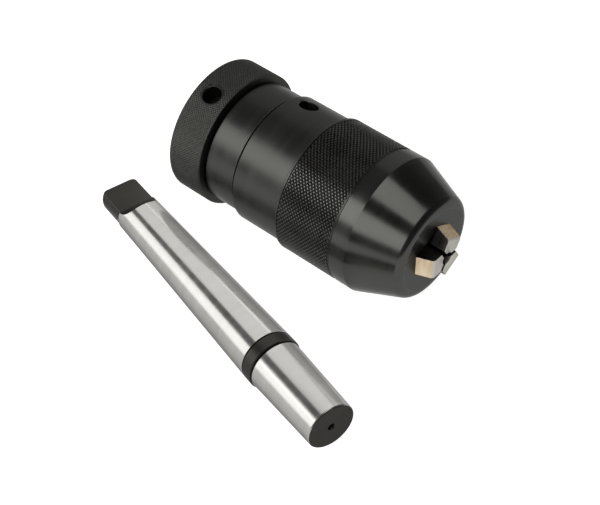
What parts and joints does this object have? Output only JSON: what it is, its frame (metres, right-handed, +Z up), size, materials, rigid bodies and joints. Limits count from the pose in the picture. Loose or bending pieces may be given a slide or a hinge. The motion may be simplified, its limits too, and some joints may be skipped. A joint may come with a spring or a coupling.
{
  "type": "keyless drill chuck",
  "caption": "Self-tightening keyless drill chuck on its side, jaws almost closed, with its loose Morse taper arbor beside it.",
  "frame": {"origin": "on the bench, under the middle of the chuck and its arbor together", "axes": "+X along the chuck from its rear face to its jaws, +Y away from the arbor, +Z up from the bench"},
  "size_m": [0.1186, 0.0934, 0.046],
  "materials": {
    "black_oxide": "black oxide over fine turning, satin with soft reflections",
    "knurled_black_oxide": "knurled and blacked, matte",
    "jaw_steel": "ground and hardened, bare",
    "hardened_steel": "hardened, lightly oiled",
    "bearing_steel": "polished",
    "brass_cage": "machined",
    "ground_steel": "cylindrically ground, bright; tang, collar and end face blacked"
  },
  "bodies": {
    "chuck_body": {"chuck_body": "black_oxide", "rear_ring": "knurled_black_oxide", "body_race": "bearing_steel"},
    "shell": {"bearing_sleeve": "black_oxide", "hood": "black_oxide", "jaw_guide": "black_oxide", "lock_ring": "hardened_steel", "sleeve_race": "bearing_steel"},
    "drive_screw": {"drive_screw": "hardened_steel"},
    "jaw_1": {"jaw_1": "jaw_steel"},
    "jaw_2": {"jaw_2": "jaw_steel"},
    "jaw_3": {"jaw_3": "jaw_steel"},
    "ball_cage": {"ball_cage": "brass_cage", "bearing_ball_01": "bearing_steel", "bearing_ball_02": "bearing_steel", "bearing_ball_03": "bearing_steel", "bearing_ball_04": "bearing_steel", "bearing_ball_05": "bearing_steel", "bearing_ball_06": "bearing_steel", "bearing_ball_07": "bearing_steel", "bearing_ball_08": "bearing_steel", "bearing_ball_09": "bearing_steel", "bearing_ball_10": "bearing_steel", "bearing_ball_11": "bearing_steel", "bearing_ball_12": "bearing_steel", "bearing_ball_13": "bearing_steel", "bearing_ball_14": "bearing_steel", "bearing_ball_15": "bearing_steel", "bearing_ball_16": "bearing_steel"},
    "arbor": {"taper_arbor": "ground_steel"}
  },
  "joints": [
    {"name": "sleeve_turn", "type": "hinge", "parent": "chuck_body", "child": "shell", "pos_m": [0, 0.0237, 0.023], "axis": [1, 0, 0], "range_deg": [-240, 2070]},
    {"name": "screw_slide", "type": "slide", "parent": "shell", "child": "drive_screw", "axis": [1, 0, 0], "range_m": [-0.01438, 0.00167]},
    {"name": "jaw_1_slide", "type": "slide", "parent": "shell", "child": "jaw_1", "axis": [0.9336, 0.3584, 0], "range_m": [-0.0154, 0.00179]},
    {"name": "jaw_2_slide", "type": "slide", "parent": "shell", "child": "jaw_2", "axis": [0.9336, -0.1792, -0.3104], "range_m": [-0.0154, 0.00179]},
    {"name": "jaw_3_slide", "type": "slide", "parent": "shell", "child": "jaw_3", "axis": [0.9336, -0.1792, 0.3104], "range_m": [-0.0154, 0.00179]},
    {"name": "cage_turn", "type": "hinge", "parent": "chuck_body", "child": "ball_cage", "pos_m": [0, 0.0237, 0.023], "axis": [1, 0, 0], "range_deg": [-121, 1036]},
    {"name": "arbor_lift", "type": "slide", "parent": "chuck_body", "child": "arbor", "axis": [0, 0, 1], "range_m": [0, 0.08]}
  ],
  "couplings": [
    {"joint": "screw_slide", "follows": "sleeve_turn", "m_per_rad": -0.00039789},
    {"joint": "jaw_1_slide", "follows": "sleeve_turn", "m_per_rad": -0.00042619},
    {"joint": "jaw_2_slide", "follows": "sleeve_turn", "m_per_rad": -0.00042619},
    {"joint": "jaw_3_slide", "follows": "sleeve_turn", "m_per_rad": -0.00042619},
    {"joint": "cage_turn", "follows": "sleeve_turn", "ratio": 0.5}
  ]
}
